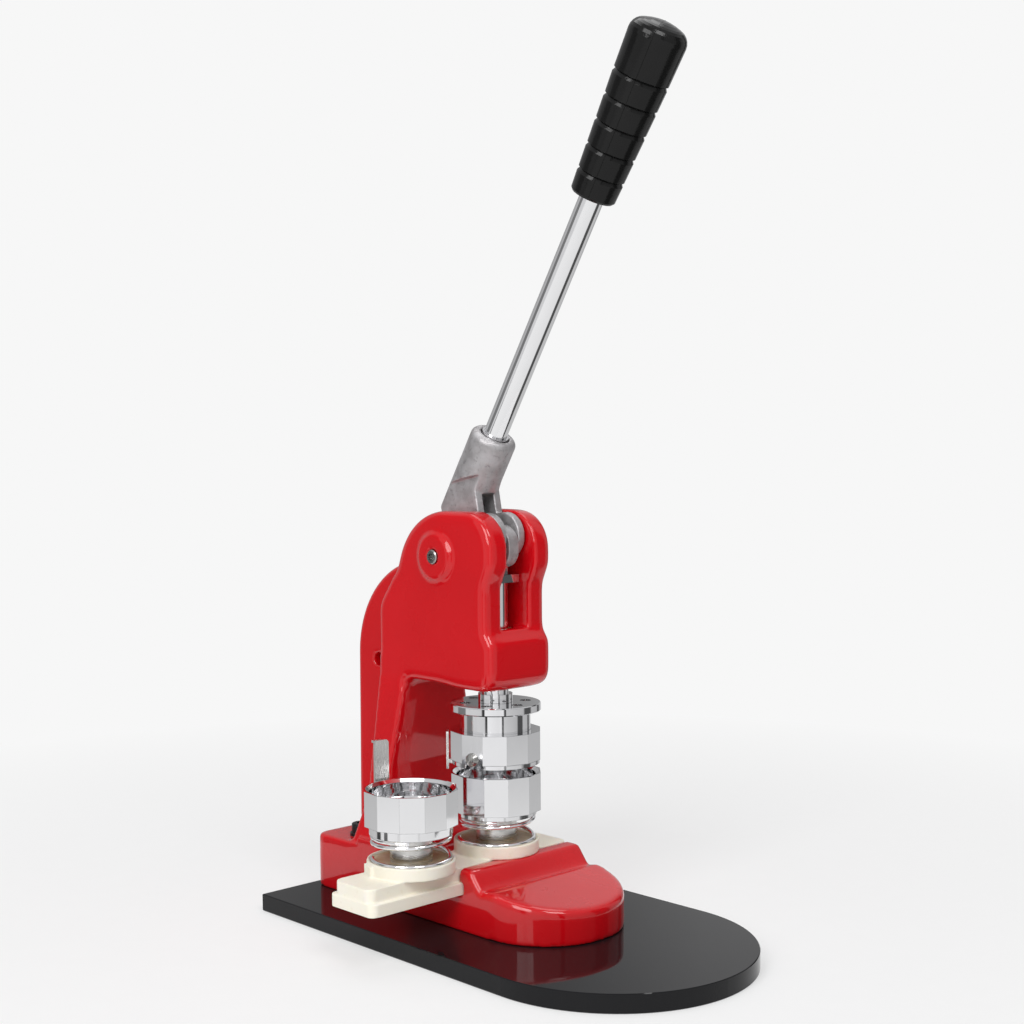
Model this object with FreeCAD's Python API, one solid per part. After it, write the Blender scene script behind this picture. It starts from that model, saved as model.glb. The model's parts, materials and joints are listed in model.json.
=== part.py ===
import FreeCAD, Part
import math
import os

V = FreeCAD.Vector

# Frame: origin on the ram axis, at the board's underside.
# +Z up, -Y towards the rounded front of the board, +X to the user's right.

# ---- driving dimensions, millimetres ----
BOARD_LENGTH = 280.0
BOARD_WIDTH = 157.0
BOARD_T = 10.0
BOARD_REAR_Y = 116.5

# casting foot
FOOT_REAR_Y = 112.5
FOOT_REAR_HALF = 43.0
TOE_R = 43.0
TOE_FRONT_Y = -81.0
BLOCK_TOP = 41.3
CHANNEL_TOP = 44.0
SADDLE_TOP = 45.0
RIDGE_BACK_Y = 24.0
RIDGE_FRONT_Y = -24.0
GROOVE_Y = -32.0
GROOVE_Z = 33.6
TOE_RIM_Z = 27.5

# tower and head
HEAD_HALF = 23.7
HEAD_FRONT_Y = -21.2
HEAD_BOTTOM = 136.5
CHEEK_REAR_Y = 73.0
WEB_HALF = 11.3
WEB_REAR_Y = 108.0
THROAT_Y = 51.0
COLUMN_FLARE_Z = 62.0
COLUMN_FLARE_HALF = 35.0
COLUMN_REAR_SPREAD = 5.5
SLOT_HALF = 10.5
SLOT_FLOOR = 170.0
SLOT_REAR_Y = 41.0
CROSS_HOLE_R = 4.0
CROSS_HOLE_YZ = (88.8, 144.5)
EDGE_R = 3.0

# lever
PIVOT_Y = 22.3
PIVOT_Z = 209.3
PIVOT_R = 4.0
BOSS_R = 12.5
BOSS_HEIGHT = 2.5
TILT = 31.3
MOUTH_U = 69.5
SOCKET_V = 14.4
SOCKET_R = 13.0
SOCKET_FOOT_U = 23.0
MOUTH_R = 8.4
MOUTH_DEPTH = 3.0
FORK_HALF = 9.3
FORK_GAP_HALF = 4.4
PIVOT_EYE_R = 13.0
CRANK_U = 22.3
CRANK_V = -14.9
EAR_R = 12.9
CRANK_PIN_R = 3.0
ROD_R = 6.5
ROD_INSERT = 25.0
GRIP_START_U = 209.6
GRIP_LENGTH = 91.0
GRIP_END_R = 15.2
GRIP_FOOT_R = 12.0
GRIP_CORNER_R = 7.0
GRIP_DOME = 1.5
GRIP_BORE = 55.1
GROOVE_FIRST_U = 12.0
GROOVE_SPACING = 12.7
GROOVE_DEPTH = 1.2

# ram
RAM_R = 7.4
BUSH_R = 10.0
RAM_TOP = 195.0
FLANGE_T = 4.5
FLANGE_HALF_X = 10.3
FLANGE_HALF_Y = 10.0
TONGUE_HALF = 1.5
LINK_HALF = 3.85
RAM_PIN_Z = 208.0
RAM_PIN_R = 2.6
LINK_SLIP = 1.6

# upper die
PLATE_R = 25.4
PLATE_BOTTOM = 123.5
PLATE_TOP = 128.0
PLATE_SCREW_CIRCLE = 17.3
NECK_R = 19.5
UPPER_CORE_BOTTOM = 104.0
UPPER_CORE_FLANGE_TOP = 109.6
UPPER_RING_BOTTOM = 96.4
UPPER_RING_TOP = 112.7
RING_SCREW_Z = 99.2
SELECTOR_R = 24.6
RING_SCREW_TURN = -165
SELECTOR_BOTTOM = 94.0

# dies
DIE_SPACING = 63.0
CORNER_R = 25.7
FACETS = 12
RING_TOP = 89.0
RING_A_BOTTOM = 70.0
RING_B_BOTTOM = 67.8
SKIRT_BOTTOM = 65.0
LEDGE_Z = 68.0
SKIRT_R = 22.6
BORE_R = 22.2
CORE_R = 22.1
CORE_TOP = 79.0
POST_R = 11.4
SPRING_R = 20.9
SPRING_WIRE = 1.2
SPRING_START = 137.0
# share of the spring's height reached after a number of turns
SPRING_RISE = ((0.0, 0.0), (0.5, 0.02), (0.75, 0.36), (1.0, 0.72),
               (1.25, 0.80), (1.5, 0.92), (2.25, 1.0))
DIE_A_TURN = -9.0
DIE_B_TURN = 16.7
STRIP_HALF = 4.4
STRIP_SHIFT = 1.9
STRIP_TOP = 111.0
STRIP_SCREW_Z = (74.0, 82.0)

# slider
SLIDER_LEFT = -105.3
SLIDER_RIGHT = 42.5
FLANGE_HALF = 18.0
NECK_HALF = 15.0
SLIDER_BOTTOM = 30.0
SLIDER_FLANGE_TOP = 36.8
SLIDER_TOP = 44.0
CUP_R = 24.0
CUP_BORE_R = 22.4
CUP_TOP = 51.0
CUP_FLOOR = 49.7
RUN = 0.12
STOP_SCREW_X = (28.0, -90.0)

# fasteners
BOLT_X = 26.6
BOLT_Y = 88.0
BOLT_HEAD_R = 5.6
BOLT_HEAD_H = 5.6
BOLT_R = 4.0
TOE_SCREW_X = 20.0
TOE_SCREW_Y = -50.0
FIT = 0.05


# ---- small builders ----
def cyl(r, z0, z1, x=0.0, y=0.0):
    return Part.makeCylinder(r, z1 - z0, V(x, y, z0), V(0, 0, 1))


def cyl_x(r, x0, x1, y, z):
    return Part.makeCylinder(r, x1 - x0, V(x0, y, z), V(1, 0, 0))


def box(x0, x1, y0, y1, z0, z1):
    return Part.makeBox(x1 - x0, y1 - y0, z1 - z0, V(x0, y0, z0))


def cone(r0, r1, z0, z1, x=0.0, y=0.0):
    return Part.makeCone(r0, r1, z1 - z0, V(x, y, z0), V(0, 0, 1))


def corner_points(before, corner, after, radius):
    """Start, middle and end of the arc that rounds a corner between two straight runs."""
    c = V(*corner)
    to_before = (V(*before) - c).normalize()
    to_after = (V(*after) - c).normalize()
    half = to_before.getAngle(to_after) / 2
    reach = radius / math.tan(half)
    bisector = (to_before + to_after).normalize()
    centre = c + bisector * (radius / math.sin(half))
    return c + to_before * reach, centre - bisector * radius, c + to_after * reach


def rounded_face(corners, place):
    """Face from (a, b) corners, or (a, b, radius) for a rounded one; place() puts them in space."""
    flat = [place(*c[:2]) for c in corners]
    runs = []
    edges = []
    for k, corner in enumerate(corners):
        here = V(*flat[k])
        if len(corner) == 3:
            following = flat[(k + 1) % len(flat)]
            start, middle, end = corner_points(flat[k - 1], flat[k], following, corner[2])
            edges.append(Part.Arc(start, middle, end).toShape())
            runs.append((start, end))
        else:
            runs.append((here, here))
    for k, (start, end) in enumerate(runs):
        following = runs[(k + 1) % len(runs)][0]
        if end.distanceToPoint(following) > 1e-6:
            edges.append(Part.makeLine(end, following))
    return Part.Face(Part.Wire(Part.__sortEdges__(edges)))


def slab_yz(half, *corners):
    """Solid from an outline in the YZ plane, from x = -half to +half."""
    return rounded_face(corners, lambda y, z: (-half, y, z)).extrude(V(2 * half, 0, 0))


def slab_xz(y0, y1, *corners):
    """Solid from an outline in the XZ plane, between two y positions."""
    return rounded_face(corners, lambda x, z: (x, y0, z)).extrude(V(0, y1 - y0, 0))


def slab_xy(z0, z1, *corners):
    """Solid from a plan outline, between two heights."""
    return rounded_face(corners, lambda x, y: (x, y, z0)).extrude(V(0, 0, z1 - z0))


def revolve_z(profile, x=0.0, y=0.0):
    """Solid of revolution about a vertical axis from (r, z) points."""
    pts = [V(x + r, y, z) for r, z in profile]
    face = Part.Face(Part.makePolygon(pts + pts[:1]))
    return face.revolve(V(x, y, 0), V(0, 0, 1), 360)


def polygon_prism(corner_r, sides, z0, z1, first_deg, x=0.0, y=0.0):
    pts = []
    for k in range(sides):
        a = math.radians(first_deg + 360.0 * k / sides)
        pts.append(V(x + corner_r * math.cos(a), y + corner_r * math.sin(a), z0))
    return Part.Face(Part.makePolygon(pts + pts[:1])).extrude(V(0, 0, z1 - z0))


def hex_cut(across, depth, z_top, x, y):
    return polygon_prism(across / math.sqrt(3), 6, z_top - depth, z_top + 1, 0, x, y)


def turn_z(shape, degrees, x=0.0, y=0.0):
    turned = shape.copy()
    turned.rotate(V(x, y, 0), V(0, 0, 1), degrees)
    return turned


def fillet_where(shape, radius, wanted):
    """Round the edges that wanted() picks; a corner too tight to round stays sharp."""
    edges = [e for e in shape.Edges if wanted(e)]
    try:
        rounded = shape.makeFillet(radius, edges)
        if rounded.isValid() and rounded.Volume > 0:
            return rounded
    except Part.OCCError:
        pass
    print("sharp corner left:", radius, len(edges))
    return shape


def is_vertical(edge):
    b = edge.BoundBox
    return b.ZLength > 1 and b.XLength < 0.01 and b.YLength < 0.01


def in_lever(u, v):
    """Point at distance u up the handle's direction and v behind it, from the pivot."""
    t = math.radians(TILT)
    y = PIVOT_Y - u * math.sin(t) + v * math.cos(t)
    z = PIVOT_Z + u * math.cos(t) + v * math.sin(t)
    return y, z


def handle_cyl(r, u0, u1):
    y, z = in_lever(u0, SOCKET_V)
    t = math.radians(TILT)
    return Part.makeCylinder(r, u1 - u0, V(0, y, z), V(0, -math.sin(t), math.cos(t)))


# ---- board and its fasteners ----
def base_board():
    half = BOARD_WIDTH / 2
    front = BOARD_REAR_Y - BOARD_LENGTH
    nose = half - 0.01
    board = slab_xy(0, BOARD_T, (-half, BOARD_REAR_Y), (-half, front, nose), (half, front, nose),
                    (half, BOARD_REAR_Y))
    rim = [e for e in board.Edges if e.BoundBox.ZLength < 0.01]
    board = board.makeChamfer(0.4, rim)
    for side in (-1, 1):
        board = board.cut(cyl(BOLT_R + 0.3, -1, BOARD_T + 1, side * BOLT_X, BOLT_Y))
        board = board.cut(cyl(8.2, -1, 7.2, side * BOLT_X, BOLT_Y))
        board = board.cut(cyl(3.2, -1, BOARD_T + 1, side * TOE_SCREW_X, TOE_SCREW_Y))
        sink = cone(6.6, 3.2, -0.01, 3.6, side * TOE_SCREW_X, TOE_SCREW_Y)
        board = board.cut(sink)
    return board


def rear_bolt(x):
    head_z = BLOCK_TOP + 1.6
    top = head_z + BOLT_HEAD_H
    bolt = cyl(BOLT_HEAD_R, head_z, top, x, BOLT_Y)
    bolt = fillet_where(bolt, 0.8, lambda e: e.BoundBox.ZMin > top - 1)
    bolt = bolt.cut(hex_cut(5.0, 3.6, top, x, BOLT_Y))
    return bolt.fuse(cyl(BOLT_R, 0.8, head_z, x, BOLT_Y))


def rear_washer(x):
    ring = cyl(BOLT_HEAD_R + 1.0, BLOCK_TOP, BLOCK_TOP + 1.6, x, BOLT_Y)
    return ring.cut(cyl(BOLT_R + 0.25, BLOCK_TOP - 1, BLOCK_TOP + 3, x, BOLT_Y))


def rear_nut(x):
    nut = polygon_prism(7.5, 6, 0.7, 7.2, 0, x, BOLT_Y)
    return nut.cut(cyl(BOLT_R, -1, 9, x, BOLT_Y))


def toe_screw(x):
    y = TOE_SCREW_Y
    screw = cyl(3.0, 0.3, 24.0, x, y).fuse(cone(6.0, 3.0, 0.3, 3.4, x, y))
    return screw.cut(polygon_prism(4.0 / math.sqrt(3), 6, -1, 2.6, 0, x, y))


# ---- red casting ----
def foot():
    rear = FOOT_REAR_Y
    far = rear + 5
    low = BOARD_T - 5
    nose = TOE_R - 0.6
    body = slab_xy(BOARD_T, SADDLE_TOP + 5,
                   (-FOOT_REAR_HALF, rear, 8.0), (-TOE_R, TOE_FRONT_Y, nose),
                   (TOE_R, TOE_FRONT_Y, nose), (FOOT_REAR_HALF, rear, 8.0))
    side = slab_yz(TOE_R + 5,
                   (far, low), (far, BLOCK_TOP), (CHEEK_REAR_Y - 1, BLOCK_TOP),
                   (CHEEK_REAR_Y - 1, SADDLE_TOP), (RIDGE_BACK_Y, SADDLE_TOP),
                   (RIDGE_BACK_Y, CHANNEL_TOP), (RIDGE_FRONT_Y, CHANNEL_TOP, 1.6),
                   (GROOVE_Y, GROOVE_Z, 3.0), (GROOVE_Y - 7, GROOVE_Z + 1.6, 4.0),
                   (TOE_FRONT_Y - 5, TOE_RIM_Z - 0.5), (TOE_FRONT_Y - 5, low))
    body = body.common(side)
    for x0 in (-60.0, 15.0):
        body = body.cut(cyl_x(14.2, x0, x0 + 45.0, 38.5, 44.5))
        body = body.cut(box(x0, x0 + 45.0, 24.3, 52.7, 44.5, 70))

    def on_toe_rim(e):
        b = e.BoundBox
        return b.YMax < GROOVE_Y - 6 and b.ZMin > TOE_RIM_Z - 1.5 and b.XLength > 10
    return fillet_where(body, 3.0, on_toe_rim)


def column():
    """Thick flared column between the foot and the head."""
    low = BLOCK_TOP - 6
    half = FOOT_REAR_HALF - 2.3
    flare = COLUMN_FLARE_HALF
    head = HEAD_HALF
    rear = CHEEK_REAR_Y + COLUMN_REAR_SPREAD
    front_view = slab_xz(40, 95,
                         (-half, low), (-half, BLOCK_TOP), (-flare - 3.0, 50.0, 12.0),
                         (-flare, COLUMN_FLARE_Z, 20.0), (-head, 140.0, 30.0), (-head, 150.0),
                         (head, 150.0), (head, 140.0, 30.0), (flare, COLUMN_FLARE_Z, 20.0),
                         (flare + 3.0, 50.0, 12.0), (half, BLOCK_TOP), (half, low))
    side_view = slab_yz(60,
                        (rear + 2.0, low - 1), (rear + 2.0, BLOCK_TOP), (rear, 50.0, 12.0),
                        (CHEEK_REAR_Y, 72.0, 30.0), (CHEEK_REAR_Y, 160), (THROAT_Y - 1, 160),
                        (THROAT_Y - 1, 139), (THROAT_Y + 4, 88, 30.0),
                        (THROAT_Y + 4, SADDLE_TOP - 1, 7.0), (THROAT_Y - 4, SADDLE_TOP - 1),
                        (THROAT_Y - 4, low - 1))
    return front_view.common(side_view)


def head():
    """Cheeks and ram housing: one rounded side outline across the full width."""
    front = HEAD_FRONT_Y
    waist = front + 4.8
    top = HEAD_BOTTOM + 98.2
    under = HEAD_BOTTOM + 1.5
    stub = HEAD_BOTTOM - 11.5
    block = slab_yz(HEAD_HALF,
                    (front, HEAD_BOTTOM, 9.0), (front, HEAD_BOTTOM + 27, 3.0),
                    (waist, HEAD_BOTTOM + 32.5, 3.0), (waist, HEAD_BOTTOM + 57, 9.0),
                    (front - 0.3, HEAD_BOTTOM + 68, 9.0), (front - 0.3, top, 21.0),
                    (47.25, top, 39.0), (57.5, HEAD_BOTTOM + 64, 14.0),
                    (CHEEK_REAR_Y, HEAD_BOTTOM + 43.5, 16.0), (CHEEK_REAR_Y, stub),
                    (THROAT_Y + 1.5, stub), (THROAT_Y - 0.5, under, 5.0),
                    (24.0, under, 60.0), (8.0, HEAD_BOTTOM, 60.0))

    def on_cheek_outline(e):
        return e.BoundBox.XLength < 0.01 and e.BoundBox.ZMax > stub + 14
    return fillet_where(block, EDGE_R, on_cheek_outline)


def web():
    """Thin rear web with its big rounded shoulder."""
    low = BLOCK_TOP - 5
    top = 205.0
    body = slab_yz(WEB_HALF, (60.0, low), (60.0, 150.0), (46.0, 190.0), (46.0, top),
                   (WEB_REAR_Y, top, 58.0), (WEB_REAR_Y, 145.0), (WEB_REAR_Y + 1.2, low))
    return fillet_where(body, EDGE_R, lambda e: e.BoundBox.XLength < 0.01 and e.BoundBox.YMax > 80)


def slider_channel():
    slot = box(-60, 60, -FLANGE_HALF - RUN, FLANGE_HALF + RUN,
               SLIDER_BOTTOM - RUN, SLIDER_FLANGE_TOP + RUN)
    slot = slot.fuse(box(-60, 60, -NECK_HALF - RUN, NECK_HALF + RUN, SLIDER_BOTTOM, 60))
    for x0, x1 in ((-60, -24), (25, 60)):
        slot = slot.fuse(box(x0, x1, -3.5, 3.5, SLIDER_BOTTOM - 3.2, SLIDER_BOTTOM))
    return slot


def pivot_boss(side):
    """Raised round pad around the lever's pivot, blended into the cheek."""
    face = side * HEAD_HALF
    rim = side * (HEAD_HALF + BOSS_HEIGHT)
    pad = cyl_x(BOSS_R, min(face - side, rim), max(face - side, rim), PIVOT_Y, PIVOT_Z)

    def on_rim(e):
        return abs(e.BoundBox.XMin - rim) < 0.01 and e.BoundBox.XLength < 0.01
    pad = fillet_where(pad, 0.6, on_rim)
    flare = Part.makeCone(BOSS_R + 2.6, BOSS_R - 0.01, 1.9, V(face, PIVOT_Y, PIVOT_Z), V(side, 0, 0))
    return pad.fuse(flare)


def body_casting():
    body = foot().fuse([column(), head(), web()]).removeSplitter()
    body = body.fuse([pivot_boss(-1), pivot_boss(1)])
    slot = box(-SLOT_HALF, SLOT_HALF, HEAD_FRONT_Y - 5, SLOT_REAR_Y - 9, SLOT_FLOOR, 260)
    slot = slot.fuse(box(-SLOT_HALF, SLOT_HALF, SLOT_REAR_Y - 10, SLOT_REAR_Y, SLOT_FLOOR + 9, 260))
    slot = slot.fuse(cyl_x(9, -SLOT_HALF, SLOT_HALF, SLOT_REAR_Y - 9, SLOT_FLOOR + 9))
    cuts = [slot, cyl(BUSH_R, HEAD_BOTTOM - 2, SLOT_FLOOR + 2), slider_channel(),
            cyl_x(PIVOT_R, -40, 40, PIVOT_Y, PIVOT_Z),
            cyl_x(CROSS_HOLE_R, -30, 30, *CROSS_HOLE_YZ)]
    for side in (-1, 1):
        cuts.append(cyl(BOLT_R + 0.3, 0, 60, side * BOLT_X, BOLT_Y))
        cuts.append(cyl(3.0, 0, 25.5, side * TOE_SCREW_X, TOE_SCREW_Y))
    return body.cut(cuts)


def pivot_pin():
    reach = HEAD_HALF + BOSS_HEIGHT + 0.9
    pin = cyl_x(PIVOT_R, -reach, reach, PIVOT_Y, PIVOT_Z)
    pin = pin.makeChamfer(0.6, [e for e in pin.Edges if e.BoundBox.XLength < 0.01])
    for side in (-1, 1):
        x0 = reach - 2.5 if side > 0 else -reach - 1
        key = polygon_prism(4.0 / math.sqrt(3), 6, 0, 3.5, 0)
        key.rotate(V(0, 0, 0), V(0, 1, 0), 90)
        key.translate(V(x0, PIVOT_Y, PIVOT_Z))
        pin = pin.cut(key)
    return pin


def ram_bush():
    bush = cyl(BUSH_R, HEAD_BOTTOM, SLOT_FLOOR - 1.0)
    return bush.cut(cyl(RAM_R + FIT, HEAD_BOTTOM - 1, SLOT_FLOOR + 2))


# ---- lever ----
def lever_slab(half, *corners):
    """Solid across the lever from corners given as (u, v) or (u, v, radius)."""
    return slab_yz(half, *[in_lever(*c[:2]) + tuple(c[2:]) for c in corners])


def handle_fork():
    """Cast fork: two ears on the crank pin, the pivot eye and the round socket of the rod."""
    body = lever_slab(FORK_HALF, (52, 6), (40, 4.2), (31.5, -3.6), (CRANK_U, CRANK_V), (0, 0),
                      (2.0, 12.6), (14.5, 21.5), (18.7, 25.5, 6.0), (49, 25.5))
    behind = lever_slab(20, (-40, SOCKET_V), (70, SOCKET_V), (70, 40), (-40, 40))
    body = body.cut(behind.cut(handle_cyl(SOCKET_R + 0.1, -40, 70)))
    for u, v, r in ((0.0, 0.0, PIVOT_EYE_R), (CRANK_U, CRANK_V, EAR_R)):
        body = body.fuse(cyl_x(r, -FORK_HALF, FORK_HALF, *in_lever(u, v)))
    socket = handle_cyl(SOCKET_R, SOCKET_FOOT_U, MOUTH_U)
    socket = fillet_where(socket, 3.5, lambda e: e.BoundBox.ZMin > PIVOT_Z + 40)
    relief = [(57.3, -3), (26.8, 30), (10, 30), (10, -3)]
    socket = socket.cut(lever_slab(20, *relief).cut(lever_slab(FORK_HALF, *relief)))
    body = body.fuse(socket).removeSplitter()
    gap = [(-20, 9), (33, 9), (38.8, 3), (42, -2), (60, -22), (30, -60), (-30, -40)]
    body = body.cut(lever_slab(FORK_GAP_HALF, *gap))
    body = body.cut(handle_cyl(ROD_R, MOUTH_U - ROD_INSERT, MOUTH_U + 5))
    body = body.cut(handle_cyl(MOUTH_R, MOUTH_U - MOUTH_DEPTH, MOUTH_U + 5))
    body = body.cut(cyl_x(CRANK_PIN_R, -20, 20, *in_lever(CRANK_U, CRANK_V)))
    return body.cut(cyl_x(PIVOT_R + 2.0, -20, 20, PIVOT_Y, PIVOT_Z))


def fork_bush():
    bush = cyl_x(PIVOT_R + 2.0, -FORK_HALF - 0.3, FORK_HALF + 0.3, PIVOT_Y, PIVOT_Z)
    return bush.cut(cyl_x(PIVOT_R + FIT, -20, 20, PIVOT_Y, PIVOT_Z))


def crank_pin():
    y, z = in_lever(CRANK_U, CRANK_V)
    return cyl_x(CRANK_PIN_R, -FORK_HALF, FORK_HALF, y, z)


def handle_rod():
    rod = handle_cyl(ROD_R, MOUTH_U - ROD_INSERT, GRIP_START_U + 55)
    return rod.fuse(handle_cyl(MOUTH_R - 0.7, MOUTH_U - MOUTH_DEPTH, MOUTH_U + 0.8))


def grip_radius(share):
    """Grip radius at a share of its length, widening towards the free end."""
    return GRIP_FOOT_R + (GRIP_END_R - GRIP_FOOT_R) * min(1.0, share * 1.15)


def handle_grip():
    """Tapered grip with five grooves and a domed end, bored for the rod."""
    profile = [(ROD_R, 0.0), (grip_radius(0) - 1.0, 0.0), (grip_radius(0), 1.2)]
    for k in range(5):
        u = GROOVE_FIRST_U + GROOVE_SPACING * k
        r = grip_radius(u / GRIP_LENGTH)
        profile += [(r, u - 2.0), (r - GROOVE_DEPTH, u), (r, u + 0.5)]
    shoulder = GRIP_LENGTH - GRIP_DOME - GRIP_CORNER_R
    for k in range(6):
        a = math.radians(15.0 * k)
        r = GRIP_END_R - GRIP_CORNER_R * (1 - math.cos(a))
        profile.append((r, shoulder + GRIP_CORNER_R * math.sin(a)))
    flat_r, flat_u = profile[-1]
    for share in (0.7, 0.4, 0.001):
        profile.append((flat_r * share, GRIP_LENGTH - (GRIP_LENGTH - flat_u) * share ** 2))
    profile += [(0.01, GRIP_BORE), (ROD_R, GRIP_BORE)]
    pts = [V(r, 0, u) for r, u in profile]
    face = Part.Face(Part.makePolygon(pts + pts[:1]))
    grip = face.revolve(V(0, 0, 0), V(0, 0, 1), 360)
    grip.rotate(V(0, 0, 0), V(1, 0, 0), TILT)
    y, z = in_lever(GRIP_START_U, SOCKET_V)
    grip.translate(V(0, y, z))
    return grip


# ---- link and ram ----
def link_part():
    """Short flat link: an eye on the crank pin above, a forked foot around the ram's tongue."""
    y, z = in_lever(CRANK_U, CRANK_V)
    front = y - 13.8
    rear = y + 6.6
    low = RAM_PIN_Z - 4.5
    top = z + 6.2
    body = slab_yz(LINK_HALF, (front, low, 9.5), (front, top, 11.0), (rear, top, 6.0), (rear, low, 4.0))
    body = fillet_where(body, 0.5, lambda e: e.BoundBox.XLength < 0.01)
    body = body.cut(cyl_x(CRANK_PIN_R + FIT, -20, 20, y, z))
    room = TONGUE_HALF + 0.15
    body = body.cut(box(-room, room, y - 9.5, y + 20, 190, RAM_PIN_Z + 6.4))
    return body.cut(cyl_x(RAM_PIN_R, -20, 20, y, RAM_PIN_Z))


def ram_pin():
    y = in_lever(CRANK_U, CRANK_V)[0]
    return cyl_x(RAM_PIN_R, -LINK_HALF, LINK_HALF, y, RAM_PIN_Z)


def ram_shaft():
    """Ram rod, its top flange and the tongue with the slotted eye for the link."""
    pin_y = in_lever(CRANK_U, CRANK_V)[0]
    shaft = cyl(RAM_R, PLATE_TOP, RAM_TOP + 1)
    flange = box(-FLANGE_HALF_X, FLANGE_HALF_X, -FLANGE_HALF_Y, FLANGE_HALF_Y,
                 RAM_TOP, RAM_TOP + FLANGE_T)
    flange = fillet_where(flange, 1.5, is_vertical)
    tongue = box(-TONGUE_HALF, TONGUE_HALF, -9.0, 6.0, RAM_TOP + FLANGE_T - 1, RAM_PIN_Z + 5.5)
    body = shaft.fuse([flange, tongue]).removeSplitter()
    slip = RAM_PIN_R + FIT + 0.15
    y0 = pin_y - LINK_SLIP - 1.4
    y1 = pin_y + LINK_SLIP
    eye = box(-9, 9, y0, y1, RAM_PIN_Z - slip, RAM_PIN_Z + slip)
    eye = eye.fuse([cyl_x(slip, -9, 9, y0, RAM_PIN_Z), cyl_x(slip, -9, 9, y1, RAM_PIN_Z)])
    body = body.cut(eye)
    return body.cut(cyl(2.5, PLATE_TOP - 1, PLATE_TOP + 16))


def around(count, radius, first_deg):
    for k in range(count):
        a = math.radians(first_deg + 360.0 * k / count)
        yield radius * math.cos(a), radius * math.sin(a)


def upper_plate():
    plate = cyl(PLATE_R, PLATE_BOTTOM, PLATE_TOP).fuse(cyl(9.6, PLATE_TOP - 1, PLATE_TOP + 5))
    plate = plate.makeChamfer(0.5, [e for e in plate.Edges if e.BoundBox.XLength > 50])
    plate = plate.cut(cyl(RAM_R, PLATE_TOP, PLATE_TOP + 9))
    plate = plate.cut(cyl(2.7, PLATE_BOTTOM - 1, PLATE_TOP + 1))
    notch = box(7, 12, -2.2, 2.2, PLATE_TOP - 0.01, PLATE_TOP + 9)
    plate = plate.cut(turn_z(notch, -133.6))
    for x, y in around(6, PLATE_SCREW_CIRCLE, 30):
        plate = plate.cut(cyl(1.6, PLATE_BOTTOM - 1, PLATE_TOP + 1, x, y))
        plate = plate.cut(cyl(3.0, PLATE_TOP - 3.4, PLATE_TOP + 1, x, y))
    return plate


def plate_screw(x, y):
    top = PLATE_TOP - 1.6
    screw = cyl(2.8, top - 1.8, top, x, y).fuse(cyl(1.5, PLATE_BOTTOM - 6, top - 1, x, y))
    return screw.cut(hex_cut(2.0, 1.2, top, x, y))


def plate_screws():
    return Part.makeCompound([plate_screw(x, y) for x, y in around(6, PLATE_SCREW_CIRCLE, 30)])


def ram_screw():
    z = PLATE_BOTTOM - 6
    screw = cyl(4.5, z - 4.5, z).fuse(cyl(2.5, z - 1, PLATE_TOP + 14))
    return screw.cut(hex_cut(4.0, 3.0, 0, 0, 0).translated(V(0, 0, z - 4.5 + 2.0)))


def upper_core():
    core = revolve_z([(0.01, UPPER_CORE_BOTTOM), (CORE_R - 1, UPPER_CORE_BOTTOM),
                      (CORE_R, UPPER_CORE_BOTTOM + 1), (CORE_R, UPPER_CORE_FLANGE_TOP),
                      (NECK_R, UPPER_CORE_FLANGE_TOP), (NECK_R, PLATE_BOTTOM),
                      (0.01, PLATE_BOTTOM)])
    core = core.cut(cyl(5.0, UPPER_CORE_BOTTOM - 1, PLATE_BOTTOM - 6))
    core = core.cut(cyl(2.7, UPPER_CORE_BOTTOM, PLATE_BOTTOM + 1))
    for x, y in around(6, PLATE_SCREW_CIRCLE, 30):
        core = core.cut(cyl(1.5, PLATE_BOTTOM - 8, PLATE_BOTTOM + 1, x, y))
    return core


def upper_die_ring():
    ring = polygon_prism(CORNER_R, FACETS, UPPER_RING_BOTTOM, UPPER_RING_TOP, 0)
    ring = ring.fuse(cyl(23.6, SELECTOR_BOTTOM + 0.1, UPPER_RING_BOTTOM + 1))
    ring = ring.cut(cyl(BORE_R, SELECTOR_BOTTOM - 1, UPPER_CORE_FLANGE_TOP + 0.1))
    ring = ring.cut(cyl(NECK_R + 0.1, 100, UPPER_RING_TOP + 1))
    hole = Part.makeCylinder(1.5, 6, V(BORE_R - 1, 0, RING_SCREW_Z), V(1, 0, 0))
    return ring.cut(turn_z(hole, RING_SCREW_TURN))


def ring_screw():
    """Dome-headed screw in one facet of the upper ring."""
    face_r = CORNER_R * math.cos(math.pi / FACETS)
    profile = [(0.01, -2.4), (1.5, -2.4), (1.5, 0.0), (3.9, 0.0), (3.6, 1.1), (2.6, 2.2), (0.01, 2.8)]
    pts = [V(r, 0, h) for r, h in profile]
    screw = Part.Face(Part.makePolygon(pts + pts[:1])).revolve(V(0, 0, 0), V(0, 0, 1), 360)
    screw.rotate(V(0, 0, 0), V(0, 1, 0), 90)
    screw.translate(V(face_r, 0, RING_SCREW_Z))
    return turn_z(screw, RING_SCREW_TURN)


def selector_ring():
    return cyl(SELECTOR_R, SELECTOR_BOTTOM, UPPER_RING_BOTTOM - 0.1).cut(
        cyl(23.7, SELECTOR_BOTTOM - 1, UPPER_RING_BOTTOM + 1))


def selector_tab():
    """Thin finger that stands outside the upper ring and turns the selector."""
    tab = box(26.3, 27.6, -3.8, 3.8, SELECTOR_BOTTOM - 3.0, UPPER_RING_TOP - 0.5)
    tab = fillet_where(tab, 1.5, lambda e: e.BoundBox.XLength > 1 and e.BoundBox.ZMin > 100)
    tab = tab.fuse(box(24.2, 27.0, -3.0, 3.0, SELECTOR_BOTTOM, UPPER_RING_BOTTOM - 0.1))
    tab = tab.cut(cyl(SELECTOR_R, SELECTOR_BOTTOM - 1, UPPER_RING_BOTTOM))
    return turn_z(tab, 137)


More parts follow.
